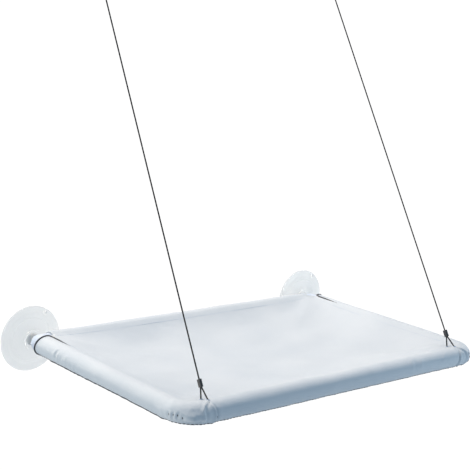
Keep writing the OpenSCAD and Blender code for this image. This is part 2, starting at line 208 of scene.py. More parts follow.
def loop_route(r, reach):
    """A loop's path, down one strand, round and up the other, as places across and along its line."""
    touch = math.atan2(STRAND_X, reach) + math.acos(r / math.hypot(STRAND_X, reach))
    turn = np.linspace(-touch, touch - 2 * math.pi, RING_POINTS)
    ring = np.column_stack([r * np.sin(turn), r * np.cos(turn)])
    down = np.linspace([-STRAND_X, reach], ring[0], STRAND_POINTS)[:-1]
    up = np.linspace(ring[-1], [STRAND_X, reach], STRAND_POINTS)[1:]
    tail_end = reach + FERRULE_LEN - TAIL_SHORT
    first = np.linspace([-STRAND_X, tail_end], [-STRAND_X, reach], TAIL_POINTS)[:-1]
    last = np.linspace([STRAND_X, reach], [STRAND_X, tail_end], TAIL_POINTS)[1:]
    return np.vstack([first, down, ring, up, last])


lower_route = loop_route(LOOP_R, LOOP_LEN)
lower_loop_path = CABLE_FOOT + lower_route[:, :1] * CABLE_BACK + lower_route[:, 1:] * CABLE_LINE
upper_route = loop_route(EYE_R, EYE_LEN)
upper_eye_path = CABLE_HEAD + upper_route[:, :1] * CABLE_SIDE - upper_route[:, 1:] * CABLE_LINE
lower_loops = {w: add_rope(w + "_rope_loop", lower_loop_path, s) for w, s in SIDES}
upper_eyes = {w: add_rope(w + "_rope_eye", upper_eye_path, s) for w, s in SIDES}

# Ferrules, oval sleeves with rounded ends and three crimps
FERRULE_ROWS = 56
FERRULE_SIDES = 48
FERRULE_BORE = 1.05
FERRULE_WALL = 1.4
FERRULE_ROUND = 0.9
FERRULE_NARROW = 0.16
FERRULE_PARTING = 6
CRIMPS = (0.24, 0.5, 0.76)
CRIMP_WIDTH = 0.06
CRIMP_DEPTH = 0.42


def ferrule_mesh(name, place, wide, line, side):
    """A ferrule from a place along a line, given for the left and mirrored for the right."""
    deep = np.cross(line, wide)
    points = []
    for i in range(FERRULE_ROWS):
        t = i / (FERRULE_ROWS - 1)
        end = min(min(t, 1 - t) * FERRULE_LEN / FERRULE_ROUND, 1)
        edge = 1 - FERRULE_NARROW * (1 - math.sqrt(max(0, 1 - (1 - end) ** 2)))
        dent = sum(math.exp(-(((t - c) / CRIMP_WIDTH) ** 2)) for c in CRIMPS) * CRIMP_DEPTH
        r = (FERRULE_BORE + FERRULE_WALL) * edge
        for j in range(FERRULE_SIDES):
            a = 2 * math.pi * j / FERRULE_SIDES
            out = math.cos(a)
            over = math.sin(a)
            x = r * out + math.copysign(STRAND_X, out) * min(1, abs(out) * FERRULE_PARTING)
            z = r * over - dent * over * abs(over) ** 2
            points.append(place + x * wide + z * deep + t * FERRULE_LEN * line)
    faces = grid_faces(FERRULE_ROWS, FERRULE_SIDES)
    last = (FERRULE_ROWS - 1) * FERRULE_SIDES
    faces.append(tuple(range(FERRULE_SIDES - 1, -1, -1)))
    faces.append(tuple(range(last, last + FERRULE_SIDES)))
    if side < 0:
        faces = [tuple(reversed(f)) for f in faces]
    return add_mesh(name, mirrored(points, side), faces)


FERRULE_SHIFT = 0.5
lower_ferrules = {
    w: ferrule_mesh(
        w + "_crimp_low",
        CABLE_FOOT + (LOOP_LEN + FERRULE_SHIFT) * CABLE_LINE,
        CABLE_BACK,
        CABLE_LINE,
        s,
    )
    for w, s in SIDES
}
upper_ferrules = {
    w: ferrule_mesh(
        w + "_crimp_high",
        CABLE_HEAD - (EYE_LEN + FERRULE_SHIFT) * CABLE_LINE,
        CABLE_SIDE,
        -CABLE_LINE,
        s,
    )
    for w, s in SIDES
}

# The loops and ferrules ride their bodies, the rope is fixed in place, and the CAD cords are hidden
for word, side in SIDES:
    cable = cables[word]
    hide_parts(word + "_cable")
    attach(lower_loops[word], "tray")
    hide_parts(word + "_lower_loop")
    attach(upper_eyes[word], "mounts")
    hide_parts(word + "_upper_eye")
    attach(lower_ferrules[word], "tray")
    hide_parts(word + "_lower_ferrule")
    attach(upper_ferrules[word], "mounts")
    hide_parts(word + "_upper_ferrule")
    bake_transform(cable)

# Cloth cover. A strip of columns runs round the frame and its rows go round the tube
COVER_STEP = 3.0
ARC_COLUMNS = 40
WRAP_ROWS = 45
DECK_RINGS = 24
SHORTEST_STEP = 1.0
CLOTH_SEED = 7
rng = np.random.RandomState(CLOTH_SEED)


def waves(count, low, high):
    """Draws of a smooth random field: frequencies in x and y, and phases."""
    f = rng.uniform(low, high, count)
    a = rng.uniform(0, 2 * math.pi, count)
    return f * np.cos(a), f * np.sin(a), rng.uniform(0, 2 * math.pi, count)


def field(draws, x, y):
    """The random field of some draws, at places x and y."""
    fx, fy, phase = draws
    total = sum(np.sin(2 * math.pi * (a * x + b * y) + p) for a, b, p in zip(fx, fy, phase))
    return total / math.sqrt(len(fx))


# Fields of long, short and very short waves, from a count and a range of waves per millimetre
BROAD = waves(7, 1 / 160, 1 / 70)
SMALL = waves(9, 1 / 36, 1 / 16)
FINE = waves(9, 1 / 14, 1 / 7)


def smooth_step(x, low, high):
    t = np.clip((x - low) / (high - low), 0, 1)
    return t * t * (3 - 2 * t)


# Stretches of the sleeves with more columns, as (first, last, step), for creases and ends
LEG_FINE = ((0, 12, 2.0), (36, 104, 1.5), (282, 293, 1.5))
FRONT_FINE = ((0, 18, 1.2), (356, 396, 1.6), (424, 450, 2.0), (460, 478, 1.2))
BACK_FINE = ((0, 12, 2.0), (486, 498, 2.0))


def spread(length, fine):
    """Places from 0 to a length, with a smaller step in the fine stretches."""
    places = [0.0]
    while places[-1] < length - SHORTEST_STEP:
        steps = [step for first, last, step in fine if first <= places[-1] < last]
        places.append(places[-1] + min(steps, default=COVER_STEP))
    places[-1] = length
    return np.array(places)


def u_strip():
    """The strip from the left back end, round the front, to the right back end.

    Gives its centres, its outward sides and the lengths along it.
    """
    start = BACK_Y - SLEEVE_END
    bend_y = FRONT_Y + BEND_R
    bend_x = SIDE_X - BEND_R
    leg = spread(start - bend_y, LEG_FINE)

    def bend(x, first, last):
        turns = np.linspace(first, last, ARC_COLUMNS, endpoint=False)
        sides = [(math.cos(a), math.sin(a)) for a in turns]
        return [(x + BEND_R * n[0], bend_y + BEND_R * n[1], *n) for n in sides]

    parts = [(-SIDE_X, start - s, -1.0, 0.0) for s in leg[:-1]]
    parts += bend(-bend_x, math.pi, 1.5 * math.pi)
    parts += [(s - bend_x, FRONT_Y, 0.0, -1.0) for s in spread(2 * bend_x, FRONT_FINE)[:-1]]
    parts += bend(bend_x, 1.5 * math.pi, 2 * math.pi)
    parts += [(SIDE_X, start - s, 1.0, 0.0) for s in leg[::-1]]
    parts = np.array(parts)
    along = np.concatenate([[0], np.cumsum(np.linalg.norm(np.diff(parts[:, :2], axis=0), axis=1))])
    return parts[:, :2], parts[:, 2:], along


def back_strip():
    """The strip along the back, from right to left: centres, outward sides and lengths."""
    half = SIDE_X - SLEEVE_END
    x = half - spread(2 * half, BACK_FINE)
    centres = np.column_stack([x, np.full_like(x, BACK_Y)])
    sides = np.column_stack([np.zeros_like(x), np.ones_like(x)])
    return centres, sides, half - x


# How far, in degrees, a crease fades beyond and within each of its ends, and how its sides fall
CREASE_BEYOND = 6
CREASE_WITHIN = 10
CREASE_FALL = 1.4


def crease(along, angle, route, width, height):
    """A crease on a sleeve. Its route is lengths along the sleeve and degrees from upright."""
    deg = np.degrees(angle)
    places, turns = zip(*route)
    off = np.abs(along - np.interp(deg, turns, places)) / width
    rise = smooth_step(deg, turns[0] - CREASE_BEYOND, turns[0] + CREASE_WITHIN)
    fall = 1 - smooth_step(deg, turns[-1] - CREASE_WITHIN, turns[-1] + CREASE_BEYOND)
    ends = rise * fall
    return height * ends * np.exp(-(off**CREASE_FALL))


wrap_angles = np.linspace(-SEAM_TOP, 2 * math.pi - SEAM_LOW, WRAP_ROWS)
strip_centres, strip_sides, strip_along = u_strip()
strip_length = strip_along[-1]
leg_length = BACK_Y - SLEEVE_END - FRONT_Y - BEND_R
arc_length = BEND_R * math.pi / 2
front_start = leg_length + arc_length
front_end = front_start + 2 * (SIDE_X - BEND_R)

# Unevenness of the sleeves' cloth: slack, ripples, puckers along the hem and gathers at the bends
SLACK = 0.22
RIPPLE = 0.10
PUCKER = 0.24
PUCKER_RISE = (112, 138)
PUCKER_FALL = (152, 176)
GATHER = 0.28
GATHER_RUN = 26
# How fast each of them changes round the tube, or along it, as a share of its random field
SLACK_ROUND = 2.0
RIPPLE_ROUND = 0.6
PUCKER_ROUND = 0.3
GATHER_ROUND = 0.35
GATHER_ALONG = 1.5


def sleeve_radius(along, angle, ends, seed_shift):
    """The radius of a sleeve's cloth, with the slack, puckers and gathers of sewn cloth."""
    run = angle * CLOTH_R
    deg = np.degrees(angle)
    r = np.full_like(along, CLOTH_R)
    r += SLACK * field(BROAD, along + seed_shift, run * SLACK_ROUND)
    r += RIPPLE * field(SMALL, along + seed_shift, run * RIPPLE_ROUND)
    pucker = smooth_step(deg, *PUCKER_RISE) * (1 - smooth_step(deg, *PUCKER_FALL))
    r += PUCKER * pucker * field(FINE, along + seed_shift, run * PUCKER_ROUND)
    for end in ends:
        near = np.exp(-(((along - end) / GATHER_RUN) ** 2))
        r += GATHER * near * field(SMALL, along * GATHER_ALONG + end, run * GATHER_ROUND)
    return r


# Creases of a front corner, as (route, width, height). Lengths are from the front end of the bend
CORNER_CREASES = (
    (((6, -2), (-3, 30), (-6.8, 59), (-6.1, 96), (-5, 125)), 1.5, 2.2),
    (((4.6, 8), (2.8, 20), (-3.2, 43), (-4.4, 66), (-4.1, 97), (-3.1, 132)), 1.3, -2.3),
    (((5.0, 33), (7.0, 70), (8.0, 103), (7.6, 142)), 2.0, 1.7),
    (((6.6, 33), (9.2, 70), (10.5, 103), (10.1, 142)), 1.2, -2.6),
    (((-13, 84), (-10, 98), (-8, 124)), 1.6, -1.4),
    (((-35.4, 84), (-37.0, 115)), 1.1, -1.8),
    (((-33.3, 80), (-34.8, 114)), 1.3, 1.2),
    (((-30.9, 78), (-32.4, 112)), 1.1, -2.0),
    (((-28.9, 76), (-30.2, 110)), 1.3, 1.3),
    (((-26.6, 76), (-28.2, 108)), 1.1, -1.8),
    (((-22.4, 86), (-24.0, 114)), 1.3, -1.3),
    (((-16, 40), (-20, 70), (-22, 96)), 4.0, 0.5),
    (((22, 20), (16, 60), (14, 120)), 3.0, 0.4),
)
# Creases of the side sleeves, from their back ends, and of the front sleeve, from the left bend
SIDE_CREASES = (
    (((46, 44), (42, 96)), 1.5, 0.9),
    (((50, 48), (46, 108)), 1.2, -1.1),
    (((54, 58), (50, 120)), 1.4, 0.9),
    (((63, 58), (60, 104)), 1.3, -0.8),
    (((72, 60), (70, 108)), 1.4, 0.7),
    (((86, 92), (84, 132)), 1.2, -0.8),
    (((91, 92), (89, 134)), 1.2, 0.6),
    (((96, 92), (94, 134)), 1.2, -0.8),
    (((17, 50), (22, 120)), 2.2, 0.5),
    (((104, 44), (106, 104)), 3.0, 0.35),
    (((150, 30), (144, 96)), 4.0, 0.3),
    (((205, 60), (212, 130)), 3.2, 0.35),
)
FRONT_CREASES = (
    (((368, 30), (365, 92)), 2.4, 0.6),
    (((374, 34), (372, 100)), 2.2, -0.5),
    (((388, 28), (384, 96)), 2.4, 0.5),
    (((446, 22), (434, 60), (430, 96)), 2.6, 0.5),
    (((120, 12), (128, 110)), 5.0, 0.35),
    (((214, 24), (206, 120)), 6.0, 0.35),
    (((290, 60), (296, 140)), 4.0, 0.3),
)
# The right side has the same creases, moved a little
RIGHT_CORNER_REACH = 0.94
RIGHT_CORNER_TURN = 3
RIGHT_CORNER_DEPTH = 0.8
RIGHT_SIDE_REACH = 1.07

# Fullness of the front corners, as (length along, degrees, height, reach along, reach in degrees)
CORNER_FULL = (
    (front_start - 14.5, 95, 4.2, 8.0, 20),
    (front_start - 16.0, 120, -2.6, 11.0, 8),
    (front_start - 17.0, 132, -1.4, 13.0, 12),
    (front_start - 22.0, 158, -1.1, 14.0, 20),
    (front_end + arc_length / 2, 118, 1.8, 12.0, 22),
)


def all_creases(along, angle):
    """What the corners' fullness and every crease add to the radius of the side and front sleeves."""
    r = np.zeros_like(along)
    for place, middle, height, reach_along, reach_round in CORNER_FULL:
        turn = (np.degrees(angle) - middle) / reach_round
        r += height * np.exp(-(turn**2) - ((along - place) / reach_along) ** 2)
    for route, width, height in CORNER_CREASES:
        left = [(front_start + a, d) for a, d in route]
        right = [(front_end - RIGHT_CORNER_REACH * a, d + RIGHT_CORNER_TURN) for a, d in route]
        r += crease(along, angle, left, width, height)
        r += crease(along, angle, right, width, RIGHT_CORNER_DEPTH * height)
    for route, width, height in SIDE_CREASES:
        right = [(strip_length - RIGHT_SIDE_REACH * a, d) for a, d in route]
        r += crease(along, angle, route, width, height)
        r += crease(along, angle, right, width, height)
    for route, width, height in FRONT_CREASES:
        r += crease(along, angle, [(front_start + a, d) for a, d in route], width, height)
    return r


# How far creased cloth can go inward before the frame holds it
PRESS_LIMIT = 1.7


def pressed(radii):
    """Radii of creased cloth that the frame holds off: what goes inward eases towards a limit."""
    inward = np.maximum(CLOTH_R - radii, 0)
    return np.maximum(radii, CLOTH_R) - PRESS_LIMIT * np.tanh(inward / PRESS_LIMIT)


def wrap_grid(centres, sides, radii):
    """Points of a strip, column by column, with each column's rows round its tube."""
    reach = radii * np.sin(wrap_angles)
    height = radii * np.cos(wrap_angles)
    xy = centres[:, None, :] + reach[..., None] * sides[:, None, :]
    return np.concatenate([xy, height[..., None]], axis=2)


strip_at, strip_turn = np.meshgrid(strip_along, wrap_angles, indexing="ij")
bend_ends = (leg_length, front_start, front_end, front_end + arc_length)
strip_r = sleeve_radius(strip_at, strip_turn, bend_ends, 0.0)
strip_r = pressed(strip_r + all_creases(strip_at, strip_turn))
strip = wrap_grid(strip_centres, strip_sides, strip_r)

# The ends by the back corners slant, and their hems are turned in
HEM_LEAN = 5.0
HEM_SHIFT = 2.5
HEM_TILT = math.radians(-25)
HEM_FADE = 22
end_shift = HEM_SHIFT - HEM_LEAN * np.cos(wrap_angles - HEM_TILT)
strip[..., 1] += np.exp(-strip_at / HEM_FADE) * end_shift[None, :]
strip[..., 1] += np.exp(-(strip_length - strip_at) / HEM_FADE) * end_shift[None, :]

BACK_SEED_SHIFT = 431.0
back_centres, back_sides, back_along = back_strip()
back_at, back_turn = np.meshgrid(back_along, wrap_angles, indexing="ij")
back_r = sleeve_radius(back_at, back_turn, (0.0, back_along[-1]), BACK_SEED_SHIFT)
back = wrap_grid(back_centres, back_sides, back_r)

HEM_TURN = np.radians([25, 55, 90, 125, 155])
HEM_R = 0.95


def turned_hem(column, centre, outward):
    """Rows that roll a sleeve's end in towards its tube. They go on from its end column."""
    rows = []
    tube = 0 if outward[0] else 1
    axis = np.zeros_like(column)
    axis[:, :2] = centre
    axis[:, tube] = column[:, tube]
    inward = axis - column
    inward /= np.linalg.norm(inward, axis=1)[:, None]
    for t in HEM_TURN:
        out = HEM_R * math.sin(t) * np.array([*outward, 0.0])
        rows.append(column + out + HEM_R * (1 - math.cos(t)) * inward)
    return np.array(rows)


left_hem = turned_hem(strip[0], strip_centres[0], (0.0, 1.0))
right_hem = turned_hem(strip[-1], strip_centres[-1], (0.0, 1.0))
back_right_hem = turned_hem(back[0], back_centres[0], (1.0, 0.0))
back_left_hem = turned_hem(back[-1], back_centres[-1], (-1.0, 0.0))

# The deck, whose edge is the first row of the sleeves and a free edge at each back corner
CORNER_POINTS = 14
CORNER_BULGE = 3.0
CORNER_DIP = 0.4


def free_edge(a, b, side):
    """The deck's edge between two sleeves at a back corner, bowed outward and a little down."""
    t = np.linspace(0, 1, CORNER_POINTS + 2)[1:-1, None]
    middle = (a + b) / 2 + np.array([side * CORNER_BULGE, CORNER_BULGE, -CORNER_DIP])
    return (1 - t) ** 2 * a + 2 * t * (1 - t) * middle + t * t * b


right_corner = free_edge(strip[-1, 0], back[0, 0], 1.0)
left_corner = free_edge(back[-1, 0], strip[0, 0], -1.0)
deck_edge = np.vstack([strip[:, 0], right_corner, back[:, 0], left_corner])

DECK_HALF_X = SIDE_X - CLOTH_R * math.sin(SEAM_TOP)
DECK_HALF_Y = (BACK_Y - FRONT_Y) / 2 - CLOTH_R * math.sin(SEAM_TOP)
DECK_EDGE_Z = CLOTH_R * math.cos(SEAM_TOP)
# Tension folds, as (side in x, side in y, heading in radians, height, width, length of fade)
FOLDS = (
    (-1, -1, 0.62, 3.4, 9.0, 120.0),
    (-1, -1, 0.36, 1.6, 7.0, 70.0),
    (1, -1, 0.50, 4.2, 10.0, 150.0),
    (1, -1, 0.28, 2.0, 7.0, 80.0),
    (-1, 1, 0.60, 2.6, 9.0, 110.0),
    (1, 1, 0.56, 2.6, 9.0, 110.0),
)
FOLD_INSET = 20
FOLD_RISE = (-4, 26)
FOLD_FLARE = 0.10
DECK_WAVE = 0.9
DECK_WAVE_RISE = (2, 40)
DECK_WAVE_SHIFT = 57.0
DECK_WAVE_SCALE = 1.2
EDGE_RIPPLE = 0.28
EDGE_RIPPLE_RISE = (1, 10)
EDGE_RIPPLE_RUN = 26
EDGE_RIPPLE_SCALE = 0.9


def deck_height(x, y):
    """The sling's height: a hollow, with tension folds from the corners and soft waves."""
    in_x = np.maximum(DECK_HALF_X - np.abs(x), 0)
    in_y = np.maximum(DECK_HALF_Y - np.abs(y - MIDDLE_Y), 0)
    z = DECK_EDGE_Z - DECK_SAG * (1 - np.exp(-in_x / EDGE_RUN)) * (1 - np.exp(-in_y / EDGE_RUN))
    for sx, sy, heading, height, width, fade in FOLDS:
        px = sx * (SIDE_X - FOLD_INSET)
        py = MIDDLE_Y + sy * ((BACK_Y - FRONT_Y) / 2 - FOLD_INSET)
        dx = -sx * math.cos(heading)
        dy = -sy * math.sin(heading)
        t = (x - px) * dx + (y - py) * dy
        w = (x - px) * dy - (y - py) * dx
        rise = smooth_step(t, *FOLD_RISE) * np.exp(-np.maximum(t, 0) / fade)
        z = z + height * rise * np.exp(-((w / (width + FOLD_FLARE * np.maximum(t, 0))) ** 2))
    edge = np.minimum(in_x, in_y)
    inside = smooth_step(edge, *DECK_WAVE_RISE)
    z = z + inside * DECK_WAVE * field(BROAD, x + DECK_WAVE_SHIFT, y * DECK_WAVE_SCALE)
    near = smooth_step(edge, *EDGE_RIPPLE_RISE)
    ripple = field(SMALL, x * EDGE_RIPPLE_SCALE, y * EDGE_RIPPLE_SCALE)
    return z + EDGE_RIPPLE * near * np.exp(-edge / EDGE_RIPPLE_RUN) * ripple


# Rings of the deck crowd towards its edge, and the outer ones ease to the edge's own height
RING_CROWD = 0.8
EDGE_HOLD = 14
centre = np.array([0.0, MIDDLE_Y])
edge_gap = deck_edge[:, 2] - deck_height(deck_edge[:, 0], deck_edge[:, 1])
rings = []
for share in np.linspace(0, 1, DECK_RINGS + 1)[1:] ** RING_CROWD:
    xy = centre + share * (deck_edge[:, :2] - centre)
    z = deck_height(xy[:, 0], xy[:, 1])
    z = z + edge_gap * share**EDGE_HOLD
    rings.append(np.column_stack([xy, z]))
rings[-1] = deck_edge
deck_rings = np.array(rings)

# One mesh from the deck, the sleeves and their hems
middle_height = deck_height(np.zeros(1), np.full(1, MIDDLE_Y))[0]
points = [np.array([[0.0, MIDDLE_Y, middle_height]])]
faces = []
uvs = []
edge_count = len(deck_edge)
wrap_run = wrap_angles * CLOTH_R
QUAD = ((0, 0), (0, 1), (1, 1), (1, 0))
BACK_WEAVE_SHIFT = 3000.0


def add_points(block):
    """Adds a block of points to the cover, and gives the number of its first."""
    start = sum(len(p) for p in points)
    points.append(block.reshape(-1, 3))
    return start


def add_face(corners, lengths):
    faces.append(corners)
    uvs.extend(lengths)


def ring_vertex(k, j):
    return 1 + k * edge_count + j % edge_count


def join_deck():
    """Adds the deck's rings round its middle point, with their places as UVs."""
    add_points(deck_rings)
    flat = np.vstack(points)[:, :2] * MM
    corners = [(0, ring_vertex(0, j), ring_vertex(0, j + 1)) for j in range(edge_count)]
    for k in range(DECK_RINGS - 1):
        for j in range(edge_count):
            near = (ring_vertex(k, j), ring_vertex(k + 1, j))
            far = (ring_vertex(k + 1, j + 1), ring_vertex(k, j + 1))
            corners.append(near + far)
    for face in corners:
        add_face(face, [tuple(flat[i]) for i in face])


def join_hem(hem, edge, place, step):
    """Adds a rolled hem to the row of vertices at a sleeve's end, with its lengths as UVs."""
    start = add_points(hem)
    rows = [edge]
    for i in range(len(hem)):
        rows.append(range(start + i * WRAP_ROWS, start + (i + 1) * WRAP_ROWS))
    for i in range(len(hem)):
        for j in range(WRAP_ROWS - 1):
            corners = tuple(rows[i + c][j + d] for c, d in QUAD)
            lengths = [((place + step * (i + c)) * MM, wrap_run[j + d] * MM) for c, d in QUAD]
            if step < 0:
                corners = corners[::-1]
                lengths = lengths[::-1]
            add_face(corners, lengths)


def join_wrap(grid, first_edge, before, after, along):
    """Adds a sleeve whose first row is the deck's edge, with its hems, and its lengths as UVs."""
    columns = len(grid)
    rows = WRAP_ROWS - 1
    start = add_points(grid[:, 1:])

    def vertex(i, j):
        if j == 0:
            return ring_vertex(DECK_RINGS - 1, first_edge + i)
        return start + i * rows + j - 1

    for i in range(columns - 1):
        for j in range(rows):
            corners = tuple(vertex(i + c, j + d) for c, d in QUAD)
            add_face(corners, [(along[i + c] * MM, wrap_run[j + d] * MM) for c, d in QUAD])
    for hem, column, step in ((before, 0, -1), (after, columns - 1, 1)):
        edge = [vertex(column, j) for j in range(WRAP_ROWS)]
        join_hem(hem, edge, along[column], step)


join_deck()
join_wrap(strip, 0, left_hem, right_hem, strip_along)
back_first = len(strip) + CORNER_POINTS
join_wrap(back, back_first, back_right_hem, back_left_hem, back_along + BACK_WEAVE_SHIFT)
cover = add_mesh("sling_cover", np.vstack(points), faces)
weave = cover.data.uv_layers.new(name="weave")
weave.data.foreach_set("uv", np.array(uvs, np.float32).ravel())


def thicken(piece, thickness):
    """Gives a sheet its thickness, on its inner side."""
    solid = piece.modifiers.new("thickness", "SOLIDIFY")
    solid.thickness = thickness * MM
    solid.offset = -1.0
    solid.use_even_offset = False
    with bpy.context.temp_override(object=piece, active_object=piece, selected_objects=[piece]):
        bpy.ops.object.modifier_apply(modifier="thickness")


thicken(cover, CLOTH_T)
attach(cover, "tray")
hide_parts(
    "sling_panel",
    "front_sleeve",
    "back_sleeve",
    "left_sleeve",
    "right_sleeve",
    "front_left_corner_cover",
    "front_right_corner_cover",
)

# Stitches, one small thread lozenge each, in rows along the seams
STITCH_PITCH = 4.2
STITCH_LENGTH = 3.1
STITCH_R = 0.42
STITCH_LIFT = 0.05
STITCH_SIDES = 6
STITCH_AHEAD = 0.8
STITCH_SINK = 1.1
STITCH_BOW = 0.9
STITCH_WIDE = 1.15
STITCH_HIGH = 0.8
# A stitch from end to end, as (share of its length, share of its thickness)
STITCH_PROFILE = ((-0.5, 0.15), (-0.42, 0.75), (-0.2, 1.0), (0.2, 1.0), (0.42, 0.75), (0.5, 0.15))
# The dark hem's stitches, as (pitch, length, lift, thickness), long and close so that the row of real
# stitches also paints a dark shaded line along the underside, and those of sleeve ends, as (pitch, length)
HEM_STITCH_AND_SHADE = (5.2, 4.8, 0.30, 0.78)
END_STITCH = (3.6, 2.6)


def stitch_row(line, normals, pitch=STITCH_PITCH, length=STITCH_LENGTH, lift=STITCH_LIFT, thick=STITCH_R):
    """Points and faces of a row of stitches along a line on the cloth."""
    gaps = np.linalg.norm(np.diff(line, axis=0), axis=1)
    along = np.concatenate([[0], np.cumsum(gaps)])
    points = []
    faces = []

    def at(place, rows):
        return np.array([np.interp(place, along, rows[:, k]) for k in range(3)])

    for s in np.arange(pitch / 2, along[-1] - pitch / 2, pitch):
        here = at(s, line)
        up = unit(at(s, normals))
        forward = unit(at(s + STITCH_AHEAD, line) - here)
        across = unit(np.cross(up, forward))
        first = len(points)
        for t, width in STITCH_PROFILE:
            sink = thick * STITCH_SINK * (1 - math.cos(t * math.pi * STITCH_BOW))
            middle = here + t * length * forward + (lift - sink) * up
            for j in range(STITCH_SIDES):
                a = 2 * math.pi * j / STITCH_SIDES
                round_thread = STITCH_WIDE * math.cos(a) * across + STITCH_HIGH * math.sin(a) * up
                points.append(middle + thick * width * round_thread)
        last = first + (len(STITCH_PROFILE) - 1) * STITCH_SIDES
        faces += grid_faces(len(STITCH_PROFILE), STITCH_SIDES, first)
        faces.append(tuple(range(first + STITCH_SIDES - 1, first - 1, -1)))
        faces.append(tuple(range(last, last + STITCH_SIDES)))
    return points, faces


def grid_normals(grid):
    """Unit normals of a sleeve's grid of points."""
    a = np.gradient(grid, axis=0)
    b = np.gradient(grid, axis=1)
    n = np.cross(b, a)
    return n / np.linalg.norm(n, axis=2)[..., None]


def add_trim(name, rows):
    """One piece of trim on the cover, from several lots of points and faces."""
    points = []
    faces = []
    for row_points, row_faces in rows:
        shift = len(points)
        points += row_points
        faces += [tuple(i + shift for i in f) for f in row_faces]
    piece = add_mesh(name, points, faces)
    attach(piece, "tray")
    return piece


strip_normals = grid_normals(strip)
back_normals = grid_normals(back)
# Places of stitches, the painted shade line under the sleeve and the crest, in degrees from upright, and
# where the end stitches start
HEM_AT = 142.6
LOW_HEM_AT = 160.0
UNDER_SHADE_AT = 154.0
END_STITCH_TO = 250
CREST_AT = -22
END_COLUMN = 2
END_ROW = 2


def row_near(degrees):
    return int(np.argmin(np.abs(np.degrees(wrap_angles) - degrees)))


low_row = row_near(END_STITCH_TO)
crest_row = row_near(CREST_AT)


def line_at(grid, degrees):
    """A line along a sleeve's grid of points or normals, at an angle from upright."""
    row = (math.radians(degrees) - wrap_angles[0]) / (wrap_angles[1] - wrap_angles[0])
    low = int(row)
    return (low + 1 - row) * grid[:, low] + (row - low) * grid[:, low + 1]


DECK_STITCH_IN = 6.0
EDGE_SPAN = 3
SLOPE_STEP = 0.5


def edge_line(inset):
    """A line on the deck at a distance inside its edge, with its normals."""
    edge = deck_edge[:, :2]
    ahead = np.roll(edge, -EDGE_SPAN, axis=0) - np.roll(edge, EDGE_SPAN, axis=0)
    ahead /= np.linalg.norm(ahead, axis=1)[:, None]
    inward = np.column_stack([-ahead[:, 1], ahead[:, 0]])
    x, y = (edge + inset * inward).T
    slope_x = deck_height(x + SLOPE_STEP, y) - deck_height(x - SLOPE_STEP, y)
    slope_y = deck_height(x, y + SLOPE_STEP) - deck_height(x, y - SLOPE_STEP)
    line = np.column_stack([x, y, deck_height(x, y)])
    return line, np.column_stack([-slope_x, -slope_y, np.full_like(x, 2 * SLOPE_STEP)])


deck_line, deck_normals = edge_line(DECK_STITCH_IN)

# Bar tacks of the front corners, as (length along the strip, first and last degrees from upright)
BAR_TACKS = (
    (front_start - 36.0, 88, 106),
    (front_start - 31.4, 86, 104),
    (front_start - 27.4, 84, 102),
    (front_start - 23.2, 92, 110),
    (front_start + 3.6, 14, 26),
    (front_start + 10.8, 102, 118),
    (front_start + 8.6, 134, 150),
    (front_end + 0.28 * arc_length, 66, 86),
    (front_end + 0.33 * arc_length, 88, 108),
    (front_end + 0.28 * arc_length, 110, 130),
)
# A tack's pitch and length are shares of its line, so that each line holds one thick stitch
TACK_POINTS = 9
TACK_PITCH = 0.62
TACK_LENGTH = 0.8
TACK_LIFT = 0.2
TACK_THICK = 0.65


def bar_tack(place, first, last):
    """One tack across the column nearest to a place along the strip."""
    column = int(np.argmin(np.abs(strip_along - place)))
    turns = np.radians(np.linspace(first, last, TACK_POINTS))

    def across(rows):
        return np.column_stack([np.interp(turns, wrap_angles, rows[:, k]) for k in range(3)])

    line = across(strip[column])
    length = float(np.linalg.norm(np.diff(line, axis=0), axis=1).sum())
    up = across(strip_normals[column])
    return stitch_row(line, up, TACK_PITCH * length, TACK_LENGTH * length, TACK_LIFT, TACK_THICK)


# Near-black hem stitches, almost touching, which also paint the shaded line along the sleeves' underside,
# and the bar tacks
hem_stitches_and_shade = add_trim(
    "hem_stitches_and_shade",
    [
        stitch_row(line_at(strip, HEM_AT), line_at(strip_normals, HEM_AT), *HEM_STITCH_AND_SHADE),
        stitch_row(line_at(back, HEM_AT), line_at(back_normals, HEM_AT), *HEM_STITCH_AND_SHADE),
    ]
    + [bar_tack(*tack) for tack in BAR_TACKS],
)
stitches = add_trim(
    "seam_stitches",
    [stitch_row(line_at(strip, LOW_HEM_AT), line_at(strip_normals, LOW_HEM_AT))]
    + [
        stitch_row(grid[column, END_ROW:low_row], normals[column, END_ROW:low_row], *END_STITCH)
        for grid, normals in ((strip, strip_normals), (back, back_normals))
        for column in (END_COLUMN, -1 - END_COLUMN)
    ]
    + [stitch_row(deck_line, deck_normals)],
)

# Painted shade: a dark cord round the end of each side sleeve and a little way along its crest paints the
# shadow gap there, and a dark line along the sleeve's underside paints its shaded side
END_SHADE_R = 1.25
END_SHADE_RUN = 52.0
END_SHADE_STOP = math.radians(205)
END_SHADE_LIFT = 0.35
END_SHADE_CREST_LIFT = 0.5
END_SHADE_LEVEL = 0.35
END_SHADE_SINK = 1.6
END_SHADE_JOIN = 3
UNDER_SHADE_R = 0.9
UNDER_SHADE_START = 14.0
UNDER_SHADE_LIFT = 0.4
UNDER_SHADE_SINK = 1.6
UNDER_SHADE_RISE = 14


def end_shade_path():
    """The path of the left dark cord that paints shade, from where it sinks into the crest, back to the end
    and round it.
    """
    shown = wrap_angles < END_SHADE_STOP
    shown[:crest_row] = False
    ring = strip[0][shown] + END_SHADE_LIFT * strip_normals[0][shown] + np.array([0.0, HEM_R, 0.0])
    near_end = strip_along < END_SHADE_RUN
    crest = strip[near_end, crest_row] + np.array([0.0, 0.0, END_SHADE_CREST_LIFT])
    sink = smooth_step(strip_along[near_end], END_SHADE_LEVEL * END_SHADE_RUN, END_SHADE_RUN)
    crest[:, 2] -= END_SHADE_SINK * sink
    return np.vstack([crest[:END_SHADE_JOIN:-1], ring[1:]])


